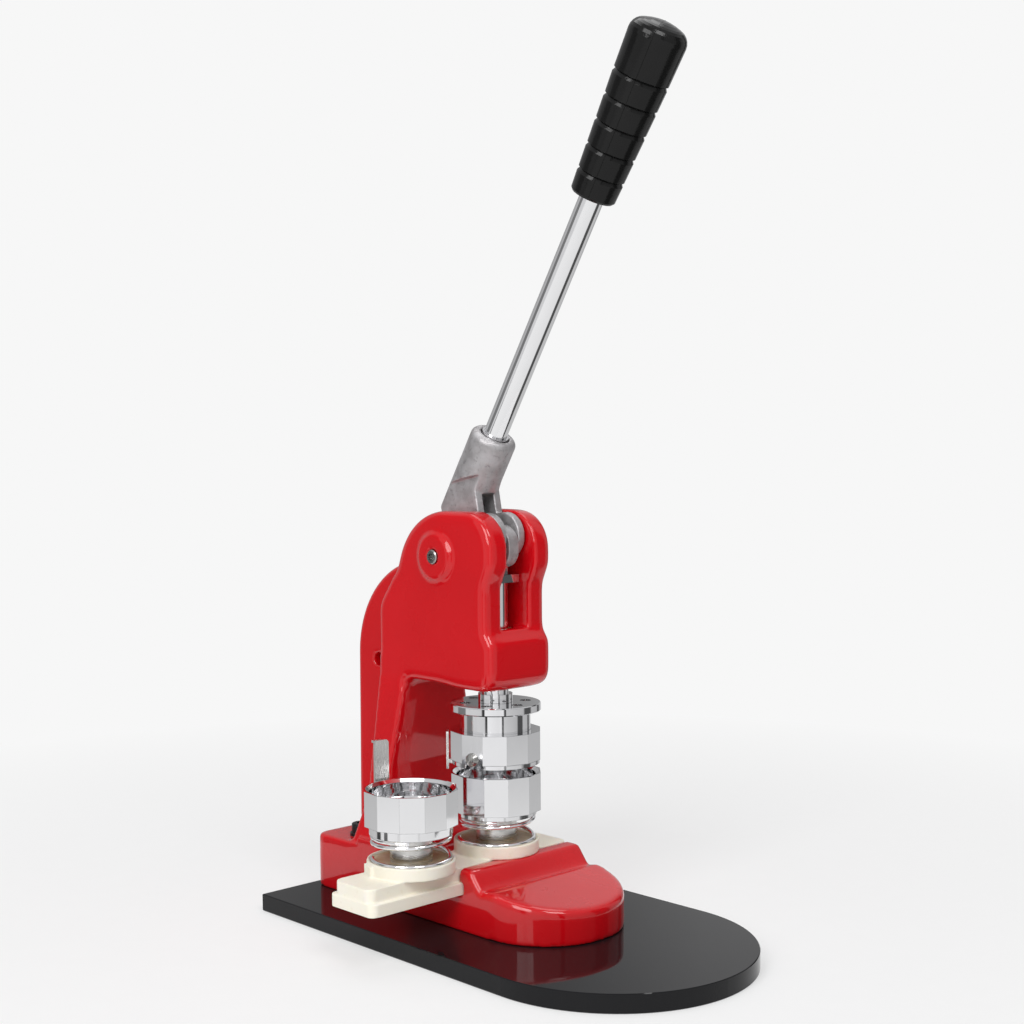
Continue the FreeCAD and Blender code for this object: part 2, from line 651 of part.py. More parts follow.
# ---- slider and dies ----
def die_slider():
    flange = box(SLIDER_LEFT, SLIDER_RIGHT, -FLANGE_HALF, FLANGE_HALF,
                 SLIDER_BOTTOM, SLIDER_FLANGE_TOP)
    flange = fillet_where(flange, 4.5, is_vertical)
    top = box(SLIDER_LEFT + 0.8, SLIDER_RIGHT, -NECK_HALF, NECK_HALF, SLIDER_FLANGE_TOP - 1, SLIDER_TOP)
    top = fillet_where(top, 5.0, is_vertical)
    body = flange.fuse(top)
    for x in (-DIE_SPACING, 0.0):
        body = body.fuse(cyl(CUP_R, SLIDER_TOP, CUP_TOP, x))
    lug = box(CUP_R - 3, CUP_R + 1.2, -5, 5, SLIDER_TOP, CUP_TOP - 1.5)
    body = body.fuse(turn_z(lug, 160).translated(V(-DIE_SPACING, 0, 0))).removeSplitter()
    for x in (-DIE_SPACING, 0.0):
        body = body.cut(cyl(CUP_BORE_R, CUP_FLOOR, CUP_TOP + 1, x))
        body = body.cut(cyl(2.5, SLIDER_BOTTOM - 1, CUP_FLOOR + 1, x))
        body = body.cut(cyl(5.2, SLIDER_BOTTOM - 1, SLIDER_BOTTOM + 5, x))
    for x in STOP_SCREW_X:
        body = body.cut(cyl(2.0, SLIDER_BOTTOM - 1, SLIDER_TOP - 2, x))
    return body


def stop_screw(x):
    """Grub screw up into the slider; its end runs in the groove of the channel's floor."""
    low = SLIDER_BOTTOM - 2.6
    screw = cyl(2.0, low, SLIDER_TOP - 2.2, x)
    return screw.cut(polygon_prism(2.0 / math.sqrt(3), 6, low - 1, low + 2.0, 0, x, 0))


def die_post(x):
    post = cyl(POST_R, CUP_FLOOR, LEDGE_Z, x)
    return post.cut(cyl(2.5, CUP_FLOOR - 1, LEDGE_Z + 1, x))


def die_core(x):
    """Fixed punch with stepped face; the ring slides around it."""
    core = revolve_z([(2.5, LEDGE_Z), (CORE_R, LEDGE_Z), (CORE_R, CORE_TOP),
                      (CORE_R - 2.2, CORE_TOP), (CORE_R - 2.2, CORE_TOP - 2.0),
                      (CORE_R - 6.0, CORE_TOP - 2.0), (CORE_R - 6.0, CORE_TOP - 3.4),
                      (8.0, CORE_TOP - 3.4), (8.0, CORE_TOP - 5.0), (2.5, CORE_TOP - 5.0)], x)
    return core


def core_screw(x):
    """Long screw from under the slider, up through the post into the core."""
    top = CORE_TOP - 6.0
    screw = cyl(4.8, SLIDER_BOTTOM + 0.6, SLIDER_BOTTOM + 5, x).fuse(cyl(2.5, SLIDER_BOTTOM + 4, top, x))
    return screw.cut(polygon_prism(4.0 / math.sqrt(3), 6, SLIDER_BOTTOM - 1, SLIDER_BOTTOM + 3, 0, x, 0))


def die_ring(x, turn, facets_bottom, screw_holes=False):
    """Sprung twelve-sided ring with a bevelled mouth, a ledge under the punch and a round skirt."""
    ring = polygon_prism(CORNER_R, FACETS, facets_bottom, RING_TOP, turn - 15, x)
    ring = ring.fuse(cyl(SKIRT_R, SKIRT_BOTTOM, facets_bottom + 1, x))
    ring = ring.cut(cyl(BORE_R, LEDGE_Z - 0.05, RING_TOP + 1, x))
    ring = ring.cut(cone(BORE_R, BORE_R + 2.0, RING_TOP - 1.6, RING_TOP + 0.01, x))
    ring = ring.cut(cyl(15.0, SKIRT_BOTTOM - 1, RING_TOP, x))
    if screw_holes:
        ring = ring.cut([strip_rod(1.2, z, -2.0, 5) for z in STRIP_SCREW_Z])
    return ring


def strip_box(r0, r1, half, z0, z1):
    face_r = CORNER_R * math.cos(math.pi / FACETS)
    plate = box(face_r + r0, face_r + r1, STRIP_SHIFT - half, STRIP_SHIFT + half, z0, z1)
    return turn_z(plate, 90 + DIE_A_TURN).translated(V(-DIE_SPACING, 0, 0))


def trip_strip():
    """Joggled steel strip on the back of the left die ring, with a bent top."""
    lower = strip_box(0.0, 1.6, STRIP_HALF, RING_A_BOTTOM + 1, RING_TOP - 0.6)
    upper = strip_box(1.5, 3.1, STRIP_HALF, RING_TOP - 2.5, STRIP_TOP)

    def at_top_corner(e):
        return e.BoundBox.ZLength < 0.1 and e.BoundBox.ZMin > STRIP_TOP - 1 and e.Length < 2
    upper = fillet_where(upper, 2.0, at_top_corner)
    hook = strip_box(1.6, 7.5, STRIP_HALF - 1.4, STRIP_TOP - 2.0, STRIP_TOP - 0.6)
    strip = lower.fuse([upper, hook]).removeSplitter()
    return strip.cut([strip_rod(1.2, z, -3, 5) for z in STRIP_SCREW_Z])


def strip_rod(r, z, r0, r1):
    """Round bar along the strip screws' direction, between two distances from the ring face."""
    face_r = CORNER_R * math.cos(math.pi / FACETS)
    rod = Part.makeCylinder(r, r1 - r0, V(face_r + r0, STRIP_SHIFT, z), V(1, 0, 0))
    return turn_z(rod, 90 + DIE_A_TURN).translated(V(-DIE_SPACING, 0, 0))


def strip_screw(z):
    """Pan-headed screw through the strip into the ring wall."""
    return strip_rod(2.4, z, 1.6, 3.1).fuse(strip_rod(1.2, z, -2.0, 1.7))


def rise_share(turn):
    """Share of the spring's height that its wire has climbed after some turns."""
    for (t0, s0), (t1, s1) in zip(SPRING_RISE, SPRING_RISE[1:]):
        if turn <= t1:
            return s0 + (s1 - s0) * (turn - t0) / (t1 - t0)
    return 1.0


def die_spring(x):
    """Open coil with closed ends, between the cup's floor and the ring's skirt."""
    low = CUP_FLOOR + SPRING_WIRE + 0.03
    high = SKIRT_BOTTOM - SPRING_WIRE - 0.03
    last = SPRING_RISE[-1][0]
    steps = 54
    pts = []
    for k in range(steps + 1):
        turn = last * k / steps
        a = math.radians(SPRING_START + 360 * turn)
        z = low + (high - low) * rise_share(turn)
        pts.append(V(x + SPRING_R * math.cos(a), SPRING_R * math.sin(a), z))
    curve = Part.BSplineCurve()
    curve.interpolate(pts)
    along = curve.tangent(curve.FirstParameter)[0]
    ring = Part.Wire([Part.makeCircle(SPRING_WIRE, pts[0], along)])
    return Part.Wire([curve.toShape()]).makePipeShell([ring], True, True)


def build():
    both = (-1, 1)
    left = -DIE_SPACING
    return {
        "base_board": base_board(),
        "body_casting": body_casting(),
        "rear_bolts": Part.makeCompound([rear_bolt(s * BOLT_X) for s in both]),
        "rear_washers": Part.makeCompound([rear_washer(s * BOLT_X) for s in both]),
        "rear_nuts": Part.makeCompound([rear_nut(s * BOLT_X) for s in both]),
        "toe_screws": Part.makeCompound([toe_screw(s * TOE_SCREW_X) for s in both]),
        "pivot_pin": pivot_pin(),
        "ram_bush": ram_bush(),
        "handle_fork": handle_fork(),
        "fork_bush": fork_bush(),
        "crank_pin": crank_pin(),
        "handle_rod": handle_rod(),
        "handle_grip": handle_grip(),
        "link": link_part(),
        "ram_pin": ram_pin(),
        "ram_shaft": ram_shaft(),
        "upper_plate": upper_plate(),
        "plate_screws": plate_screws(),
        "ram_screw": ram_screw(),
        "upper_core": upper_core(),
        "upper_die_ring": upper_die_ring(),
        "ring_screw": ring_screw(),
        "selector_ring": selector_ring(),
        "selector_tab": selector_tab(),
        "die_slider": die_slider(),
        "slider_stop_screws": Part.makeCompound([stop_screw(x) for x in STOP_SCREW_X]),
        "die_post_a": die_post(left),
        "die_post_b": die_post(0.0),
        "die_core_a": die_core(left),
        "die_core_b": die_core(0.0),
        "core_screws": Part.makeCompound([core_screw(left), core_screw(0.0)]),
        "die_ring_a": die_ring(left, DIE_A_TURN, RING_A_BOTTOM, screw_holes=True),
        "die_ring_b": die_ring(0.0, DIE_B_TURN, RING_B_BOTTOM),
        "trip_strip": trip_strip(),
        "strip_screws": Part.makeCompound([strip_screw(z) for z in STRIP_SCREW_Z]),
        "die_spring_a": die_spring(left),
        "die_spring_b": die_spring(0.0),
    }


os.makedirs("parts", exist_ok=True)
for name, shape in build().items():
    shape.exportStep("parts/%s.step" % name)
    state = "valid" if shape.isValid() else "BAD"
    print(name, len(shape.Solids), round(shape.Volume / 1000, 2), "cm3", state)
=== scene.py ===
import json
import math

import bmesh
import bpy
from mathutils import Matrix, Vector
from mathutils.bvhtree import BVHTree

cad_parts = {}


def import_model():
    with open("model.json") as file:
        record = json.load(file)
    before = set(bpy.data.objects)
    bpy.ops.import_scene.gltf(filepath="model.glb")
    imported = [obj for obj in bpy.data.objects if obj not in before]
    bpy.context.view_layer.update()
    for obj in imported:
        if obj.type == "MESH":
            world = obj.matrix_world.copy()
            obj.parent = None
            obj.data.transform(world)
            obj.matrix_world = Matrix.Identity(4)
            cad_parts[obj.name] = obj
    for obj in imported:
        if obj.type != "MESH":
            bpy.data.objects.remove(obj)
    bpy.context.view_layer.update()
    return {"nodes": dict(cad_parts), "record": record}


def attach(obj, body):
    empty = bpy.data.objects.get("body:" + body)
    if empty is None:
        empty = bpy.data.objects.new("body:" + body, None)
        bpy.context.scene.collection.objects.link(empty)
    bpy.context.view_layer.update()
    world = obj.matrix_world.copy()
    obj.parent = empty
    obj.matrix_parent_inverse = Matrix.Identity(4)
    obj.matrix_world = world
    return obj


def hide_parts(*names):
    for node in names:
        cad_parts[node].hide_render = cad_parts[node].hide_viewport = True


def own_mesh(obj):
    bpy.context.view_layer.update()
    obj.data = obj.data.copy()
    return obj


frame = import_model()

NODES = frame["nodes"]
MM = 0.001

# ---- where things are, millimetres, in the row frame ----
PIVOT = (0.0, 22.3, 209.3)
TILT = math.radians(31.3)
SOCKET_V = 14.4
GRIP_U = 209.6
GRIP_LENGTH = 91.0
DIE_X = {"a": -63.0, "b": 0.0}
SEAM_TURNS = (math.radians(214), math.radians(34))

# ---- camera: turn about the object, height angle, roll, in degrees ----
CAMERA_TURN = -42.72
CAMERA_RISE = 5.41
CAMERA_ROLL = -0.53
CAMERA_DISTANCE = 0.8936
CAMERA_TARGET = (0.0, 0.020, 0.190)
CAMERA_LENS = 55.75
CAMERA_SHIFT = (0.041, 0.0748)

# ---- studio: brightness by angle round the object, degrees to the camera's right ----
STUDIO = ((-180, 0.17), (-173, 0.36), (-150, 0.40), (-112, 0.50), (-108, 0.20), (-83, 0.20),
          (-80, 0.70), (-36, 0.66), (-34.5, 0.03), (-28.5, 0.03), (-27, 0.95), (8, 0.84),
          (19.5, 0.90), (20.5, 0.03), (25.5, 0.03), (26.5, 0.62), (74, 0.50), (78, 0.08),
          (98, 0.08), (102, 0.52), (128, 0.46), (131, 0.06), (139, 0.06), (142, 0.34),
          (163, 0.68), (171, 0.68), (176.5, 0.38), (180, 0.17))
# the ground seen in mirrors, by the same angle
GROUND = ((-180, 0.50), (-110, 0.62), (-104, 0.60), (-103, 0.03), (-89, 0.03), (-88, 0.88),
          (-77, 0.88), (-76, 0.02), (-65, 0.02), (-64, 0.95), (60, 0.85), (68, 0.80), (72, 0.08),
          (102, 0.08), (106, 0.60), (180, 0.50))
ROOF = (0.62, 0.62, 0.63)
FILL = (0.25, 0.25, 0.255)
BACKDROP = (0.93, 0.93, 0.93)


# ---------------------------------------------------------------- node helpers
class Nodes:
    """Small wrapper that builds a material's node tree."""

    def __init__(self, name):
        self.mat = bpy.data.materials.new(name)
        self.mat.use_nodes = True
        self.tree = self.mat.node_tree
        self.bsdf = self.tree.nodes["Principled BSDF"]

    def new(self, kind, **values):
        node = self.tree.nodes.new(kind)
        for key, value in values.items():
            setattr(node, key, value)
        return node

    def link(self, a, b):
        self.tree.links.new(a, b)

    def put(self, socket, value):
        if isinstance(value, bpy.types.NodeSocket):
            self.link(value, socket)
        else:
            socket.default_value = value

    def coords(self, scale=(1, 1, 1)):
        texco = self.new("ShaderNodeTexCoord")
        mapping = self.new("ShaderNodeMapping")
        self.link(texco.outputs["Object"], mapping.inputs["Vector"])
        mapping.inputs["Scale"].default_value = scale
        return mapping.outputs["Vector"]

    def noise(self, scale, detail=4.0, roughness=0.55, stretch=(1, 1, 1), distortion=0.0):
        node = self.new("ShaderNodeTexNoise")
        self.link(self.coords(stretch), node.inputs["Vector"])
        node.inputs["Scale"].default_value = scale
        node.inputs["Detail"].default_value = detail
        node.inputs["Roughness"].default_value = roughness
        node.inputs["Distortion"].default_value = distortion
        return node.outputs["Fac"]

    def remap(self, fac, a, b, low, high):
        node = self.new("ShaderNodeMapRange")
        self.link(fac, node.inputs["Value"])
        for key, value in (("From Min", a), ("From Max", b), ("To Min", low), ("To Max", high)):
            node.inputs[key].default_value = value
        return node.outputs["Result"]

    def mix(self, fac, a, b):
        node = self.new("ShaderNodeMix", data_type="RGBA")
        self.put(node.inputs[0], fac)
        self.put(node.inputs[6], a)
        self.put(node.inputs[7], b)
        return node.outputs[2]

    def math(self, operation, a, b=0.0):
        node = self.new("ShaderNodeMath", operation=operation)
        self.put(node.inputs[0], a)
        self.put(node.inputs[1], b)
        return node.outputs[0]

    def bump(self, height, distance, strength=1.0, normal=None):
        node = self.new("ShaderNodeBump")
        self.link(height, node.inputs["Height"])
        node.inputs["Distance"].default_value = distance
        node.inputs["Strength"].default_value = strength
        if normal is not None:
            self.link(normal, node.inputs["Normal"])
        return node.outputs["Normal"]

    def edges(self, radius):
        """0 on flat faces, rising to 1 near sharp edges."""
        bevel = self.new("ShaderNodeBevel", samples=4)
        bevel.inputs["Radius"].default_value = radius
        geometry = self.new("ShaderNodeNewGeometry")
        dot = self.new("ShaderNodeVectorMath", operation="DOT_PRODUCT")
        self.link(bevel.outputs["Normal"], dot.inputs[0])
        self.link(geometry.outputs["Normal"], dot.inputs[1])
        return self.remap(dot.outputs["Value"], 0.995, 0.85, 0.0, 1.0)


def rgb(r, g, b):
    return (r, g, b, 1.0)


def red_enamel():
    m = Nodes("red_enamel")
    cloud = m.noise(14.0, 3.0)
    base = m.mix(m.remap(cloud, 0.35, 0.65, 0, 1), rgb(0.56, 0.002, 0.006), rgb(0.61, 0.003, 0.008))
    # painted highlight: patchy lighter red along the sharp edges
    painted_edge_highlight = m.math("MULTIPLY", m.edges(0.0012), m.remap(m.noise(160.0, 5.0), 0.50, 0.72, 0.0, 0.4))
    base = m.mix(painted_edge_highlight, base, rgb(0.80, 0.05, 0.045))
    m.put(m.bsdf.inputs["Base Color"], base)
    m.put(m.bsdf.inputs["Roughness"], m.remap(m.noise(40.0, 4.0), 0.3, 0.7, 0.24, 0.34))
    m.put(m.bsdf.inputs["Specular IOR Level"], 0.05)
    m.put(m.bsdf.inputs["Coat Weight"], 0.95)
    m.put(m.bsdf.inputs["Coat IOR"], 1.5)
    m.put(m.bsdf.inputs["Coat Roughness"], m.remap(m.noise(90.0, 3.0), 0.3, 0.7, 0.03, 0.07))
    peel = m.bump(m.noise(420.0, 2.0), 0.00004)
    wave = m.bump(m.noise(45.0, 2.0), 0.00025, normal=peel)
    m.put(m.bsdf.inputs["Normal"], wave)
    return m.mat


def black_acrylic():
    m = Nodes("black_acrylic")
    haze = m.noise(9.0, 5.0)
    base = m.mix(haze, rgb(0.006, 0.006, 0.007), rgb(0.011, 0.011, 0.012))
    m.put(m.bsdf.inputs["Base Color"], base)
    dust = m.remap(m.noise(700.0, 2.0), 0.68, 0.74, 0.0, 0.12)
    m.put(m.bsdf.inputs["Roughness"], m.math("ADD", m.remap(haze, 0.35, 0.7, 0.03, 0.09), dust))
    m.put(m.bsdf.inputs["IOR"], 1.49)
    m.put(m.bsdf.inputs["Specular IOR Level"], 0.20)
    m.put(m.bsdf.inputs["Normal"], m.bump(m.noise(30.0, 1.0), 0.00003))
    return m.mat


def chrome(name="chrome", low=0.03, high=0.10):
    m = Nodes(name)
    smear = m.noise(60.0, 5.0)
    plate = m.mix(smear, rgb(0.82, 0.82, 0.83), rgb(0.88, 0.88, 0.89))
    # painted reflection: patchy dark lines along the sharp edges
    painted_dark_edge_reflection = m.math("MULTIPLY", m.edges(0.0006), m.remap(m.noise(500.0, 4.0), 0.3, 0.6, 0.45, 0.80))
    m.put(m.bsdf.inputs["Base Color"], m.mix(painted_dark_edge_reflection, plate, rgb(0.10, 0.10, 0.11)))
    m.put(m.bsdf.inputs["Metallic"], 1.0)
    m.put(m.bsdf.inputs["Roughness"], m.remap(smear, 0.3, 0.7, low, high))
    lines = m.noise(220.0, 3.0, stretch=(1.0, 1.0, 0.08))
    m.put(m.bsdf.inputs["Normal"], m.bump(lines, 0.00003, 0.5))
    return m.mat


def brushed(name, colour, rough, stretch, scale=900.0):
    m = Nodes(name)
    lines = m.noise(scale, 3.0, stretch=stretch)
    tone = m.mix(m.remap(lines, 0.3, 0.7, 0, 1), rgb(*[c * 0.90 for c in colour]), rgb(*colour))
    m.put(m.bsdf.inputs["Base Color"], tone)
    m.put(m.bsdf.inputs["Metallic"], 1.0)
    m.put(m.bsdf.inputs["Roughness"], m.remap(lines, 0.3, 0.7, rough - 0.07, rough + 0.09))
    m.put(m.bsdf.inputs["Normal"], m.bump(lines, 0.00002, 0.4))
    return m.mat


def raw_casting():
    m = Nodes("raw_casting")
    mottle = m.noise(120.0, 6.0, 0.6)
    stain_and_shade_blotches = m.remap(m.noise(300.0, 5.0, 0.7), 0.56, 0.70, 0.0, 0.75)
    base = m.mix(m.remap(mottle, 0.35, 0.65, 0, 1), rgb(0.36, 0.345, 0.35), rgb(0.50, 0.49, 0.50))
    base = m.mix(stain_and_shade_blotches, base, rgb(0.22, 0.205, 0.21))
    base = m.mix(m.edges(0.0008), base, rgb(0.66, 0.65, 0.66))
    m.put(m.bsdf.inputs["Base Color"], base)
    m.put(m.bsdf.inputs["Metallic"], 0.65)
    m.put(m.bsdf.inputs["Roughness"], m.remap(mottle, 0.3, 0.7, 0.40, 0.58))
    fine = m.bump(m.noise(1500.0, 4.0, 0.7), 0.00008)
    m.put(m.bsdf.inputs["Normal"], m.bump(m.noise(200.0, 3.0), 0.00025, normal=fine))
    return m.mat


def grip_plastic():
    m = Nodes("grip_plastic")
    cloud = m.noise(50.0, 4.0)
    base = m.mix(cloud, rgb(0.004, 0.004, 0.004), rgb(0.010, 0.010, 0.010))
    m.put(m.bsdf.inputs["Base Color"], base)
    m.put(m.bsdf.inputs["Roughness"], m.remap(cloud, 0.3, 0.7, 0.10, 0.18))
    m.put(m.bsdf.inputs["Specular IOR Level"], 0.22)
    m.put(m.bsdf.inputs["Normal"], m.bump(m.noise(900.0, 3.0), 0.00006))
    return m.mat


def cream_plastic():
    m = Nodes("cream_plastic")
    cloud = m.noise(25.0, 4.0)
    base = m.mix(cloud, rgb(0.88, 0.83, 0.70), rgb(0.93, 0.89, 0.78))
    base = m.mix(m.remap(m.noise(260.0, 5.0), 0.62, 0.72, 0.0, 0.30), base, rgb(0.74, 0.66, 0.50))
    # painted shade: warm tan darkening on the floors of the die cups
    base = m.mix(painted_cup_floor_shade(m), base, rgb(0.50, 0.36, 0.19))
    m.put(m.bsdf.inputs["Base Color"], base)
    m.put(m.bsdf.inputs["Roughness"], m.remap(m.noise(80.0, 3.0), 0.3, 0.7, 0.34, 0.48))
    m.put(m.bsdf.inputs["Subsurface Weight"], 0.12)
    m.put(m.bsdf.inputs["Subsurface Radius"], (0.003, 0.002, 0.001))
    m.put(m.bsdf.inputs["Normal"], m.bump(m.noise(700.0, 3.0), 0.00005))
    return m.mat


def painted_cup_floor_shade(m):
    """1 on the floors of the two die cups, where a patchy warm tan painted shade goes."""
    split = m.new("ShaderNodeSeparateXYZ")
    m.link(m.coords(), split.inputs[0])
    x, y, z = split.outputs
    inside = 0.0
    for centre in DIE_X.values():
        dx = m.math("SUBTRACT", x, centre * MM)
        far = m.math("SQRT", m.math("ADD", m.math("MULTIPLY", dx, dx), m.math("MULTIPLY", y, y)))
        inside = m.math("ADD", inside, m.math("LESS_THAN", far, 22.2 * MM))
    low = m.math("GREATER_THAN", z, 48.9 * MM)
    high = m.math("LESS_THAN", z, 50.1 * MM)
    # patchy strength of the painted shade on the cup floors
    stain_and_shade_blotches = m.remap(m.noise(90.0, 4.0), 0.3, 0.6, 0.55, 1.0)
    return m.math("MULTIPLY", m.math("MULTIPLY", inside, m.math("MULTIPLY", low, high)), stain_and_shade_blotches)


def black_oxide():
    m = Nodes("black_oxide")
    cloud = m.noise(400.0, 4.0)
    base = m.mix(m.edges(0.0004), rgb(0.012, 0.012, 0.013), rgb(0.12, 0.12, 0.125))
    m.put(m.bsdf.inputs["Base Color"], base)
    m.put(m.bsdf.inputs["Metallic"], 0.5)
    m.put(m.bsdf.inputs["Roughness"], m.remap(cloud, 0.3, 0.7, 0.30, 0.45))
    m.put(m.bsdf.inputs["Normal"], m.bump(cloud, 0.00003))
    return m.mat


LOOKS = {
    "red_paint": red_enamel(),
    "black_acrylic": black_acrylic(),
    "chrome": chrome(),
    "steel": brushed("turned_steel", (0.38, 0.375, 0.36), 0.24, (1, 1, 0.2)),
    "bronze": brushed("sintered_bronze", (0.60, 0.44, 0.24), 0.45, (1, 1, 1)),
    "raw_cast": raw_casting(),
    "grip_black": grip_plastic(),
    "cream_plastic": cream_plastic(),
    "brushed": brushed("brushed_strip", (0.72, 0.71, 0.69), 0.26, (1, 1, 0.04), 2400.0),
    "turned_aluminium": brushed("turned_aluminium", (0.74, 0.73, 0.71), 0.28, (0.04, 0.04, 1)),
    "black_steel": black_oxide(),
}


# ---------------------------------------------------------------- pieces
def paint(obj, slot):
    obj.data.materials.clear()
    obj.data.materials.append(LOOKS[slot])
    for polygon in obj.data.polygons:
        polygon.material_index = 0


def finished(mesh, name, body, slot, nodes):
    """New piece on a body, standing for CAD nodes, with its material."""
    obj = bpy.data.objects.new(name, mesh)
    bpy.context.scene.collection.objects.link(obj)
    paint(obj, slot)
    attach(obj, body)
    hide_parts(*nodes)
    return obj


def welded(node):
    """Copy of a node's mesh as one closed skin."""
    mesh = NODES[node].data.copy()
    bm = bmesh.new()
    bm.from_mesh(mesh)
    bmesh.ops.remove_doubles(bm, verts=bm.verts, dist=2e-6)
    bmesh.ops.recalc_face_normals(bm, faces=bm.faces)
    bm.to_mesh(mesh)
    bm.free()
    mesh.materials.clear()
    return mesh


def evaluated_mesh(obj):
    graph = bpy.context.evaluated_depsgraph_get()
    mesh = bpy.data.meshes.new_from_object(obj.evaluated_get(graph))
    bpy.data.objects.remove(obj)
    return mesh


def smoothed(mesh, rounds, weight=None):
    """Relax a mesh, everywhere or only where weight(point in millimetres) says so."""
    obj = bpy.data.objects.new("relaxed", mesh)
    bpy.context.scene.collection.objects.link(obj)
    relax = obj.modifiers.new("relax", "SMOOTH")
    relax.factor = 0.5
    relax.iterations = rounds
    if weight:
        group = obj.vertex_groups.new(name="zone")
        for vertex in mesh.vertices:
            amount = weight(*(vertex.co / MM))
            if amount > 0:
                group.add([vertex.index], amount, "REPLACE")
        relax.vertex_group = "zone"
    return evaluated_mesh(obj)


def soft_cast(node, name, body, slot, voxel, rounds, zone=None, zone_rounds=0):
    """Remeshed copy of a node with every edge and corner softened as a casting's are."""
    raw = bpy.data.objects.new(name + "_raw", welded(node))
    bpy.context.scene.collection.objects.link(raw)
    remesh = raw.modifiers.new("skin", "REMESH")
    remesh.mode = "VOXEL"
    remesh.voxel_size = voxel * MM
    remesh.use_smooth_shade = True
    mesh = evaluated_mesh(raw)
    if zone:
        mesh = smoothed(mesh, zone_rounds, zone)
    mesh = smoothed(mesh, rounds)
    mesh.name = name
    for polygon in mesh.polygons:
        polygon.use_smooth = True
    return finished(mesh, name, body, slot, [node])


def ramp(value, start, end):
    return min(1.0, max(0.0, (value - start) / (end - start)))


def casting_zone(x, y, z):
    """Where the body casting's outer edges are broadly rounded."""
    outer = ramp(abs(x), 13.5, 16.5)
    from_pivot = math.hypot(y - PIVOT[1], z - PIVOT[2])
    if z > 132 and y < 62:
        return outer * ramp(from_pivot, 16.0, 18.0) * ramp(-y, -62, -54)
    if 30 < z < 47 and y > 78:
        return 0.35 * ramp(max(abs(x), y - 68), 32, 36)
    if 20 < z < 34 and y < -45:
        return 0.30
    if z > 47 and 50 < y < 80:
        return 0.22 * outer
    return 0.0


SLOT_OF = {s["node"]: s["material_slot"] for s in frame["record"]["subparts"]}
BODY_OF = {n: b for b, ns in frame["record"]["behaviour"]["bodies"].items() for n in ns}

soft_cast("body_casting", "casting_skin", "frame", "red_paint", 1.0, 10, casting_zone, 60)
soft_cast("handle_fork", "fork_skin", "lever", "raw_cast", 0.5, 4)
soft_cast("link", "link_skin", "link", "raw_cast", 0.3, 4)
soft_cast("die_slider", "slider_skin", "slider", "cream_plastic", 0.5, 3)

def die_springs():
    """Chrome copies of the two die springs' coils, riding on the slider."""
    for side, x in DIE_X.items():
        node = "die_spring_" + side
        coil = finished(NODES[node].data.copy(), "coil_" + side, "slider", "chrome", [node])
        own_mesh(coil)


def grip_frame():
    """Foot of the grip's axis, its direction and the two directions across it."""
    along = Vector((0, -math.sin(TILT), math.cos(TILT)))
    across = Vector((1, 0, 0))
    behind = along.cross(across)
    foot = Vector(PIVOT) + along * GRIP_U + behind * SOCKET_V
    return foot, along, across, behind


def seam_rays(turn):
    """Rays at the grip's surface from outside, up one side and over the dome."""
    foot, along, across, behind = grip_frame()
    radial = across * math.cos(turn) + behind * math.sin(turn)
    reach = 40.0
    shoulder = GRIP_LENGTH - 9.0
    stations = 150
    for k in range(stations):
        middle = foot + along * (1.5 + (shoulder - 1.5) * k / stations)
        yield middle + radial * reach, -radial
    for k in range(19):
        angle = math.radians(5 * k)
        out = radial * math.cos(angle) + along * math.sin(angle)
        yield foot + along * shoulder + out * reach, -out


def grip_seam():
    """Fine raised parting line down both sides of the moulded grip."""
    along, across, behind = grip_frame()[1:]
    surface = BVHTree.FromObject(NODES["handle_grip"], bpy.context.evaluated_depsgraph_get())
    bm = bmesh.new()
    for turn in SEAM_TURNS:
        sideways = (behind * math.cos(turn) - across * math.sin(turn)) * 0.32
        section = None
        for start, heading in seam_rays(turn):
            hit = surface.ray_cast(start * MM, heading)[0]
            if hit is None:
                continue
            skin = hit / MM
            ridge = [skin + heading * 0.4 - sideways, skin - heading * 0.16,
                     skin + heading * 0.4 + sideways]
            corners = [bm.verts.new(corner * MM) for corner in ridge]
            if section:
                for k in range(3):
                    after = (k + 1) % 3
                    bm.faces.new((section[k], section[after], corners[after], corners[k]))
            else:
                bm.faces.new(corners)
            section = corners
        bm.faces.new(section)
    bmesh.ops.recalc_face_normals(bm, faces=bm.faces)
    mesh = bpy.data.meshes.new("grip_seam")
    bm.to_mesh(mesh)
    bm.free()
    finished(mesh, "grip_seam", "lever", "grip_black", [])


for node, obj in NODES.items():
    paint(obj, SLOT_OF[node])

die_springs()
grip_seam()

BEVELLED = {
    "base_board": 0.3, "upper_plate": 0.35, "upper_die_ring": 0.25, "die_ring_a": 0.25,
    "die_ring_b": 0.25, "rear_bolts": 0.2, "rear_washers": 0.2, "selector_tab": 0.2,
    "trip_strip": 0.2, "ram_shaft": 0.3, "pivot_pin": 0.15, "plate_screws": 0.1,
    "upper_core": 0.2, "die_post_a": 0.2, "die_post_b": 0.2, "selector_ring": 0.15,
    "slider_stop_screws": 0.15, "strip_screws": 0.2, "die_core_a": 0.2, "die_core_b": 0.2,
}
for node, width in BEVELLED.items():
    bevel = NODES[node].modifiers.new("edge", "BEVEL")
    bevel.width = width * MM
    bevel.segments = 2
    bevel.limit_method = "ANGLE"
    bevel.angle_limit = math.radians(24)
    bevel.harden_normals = False


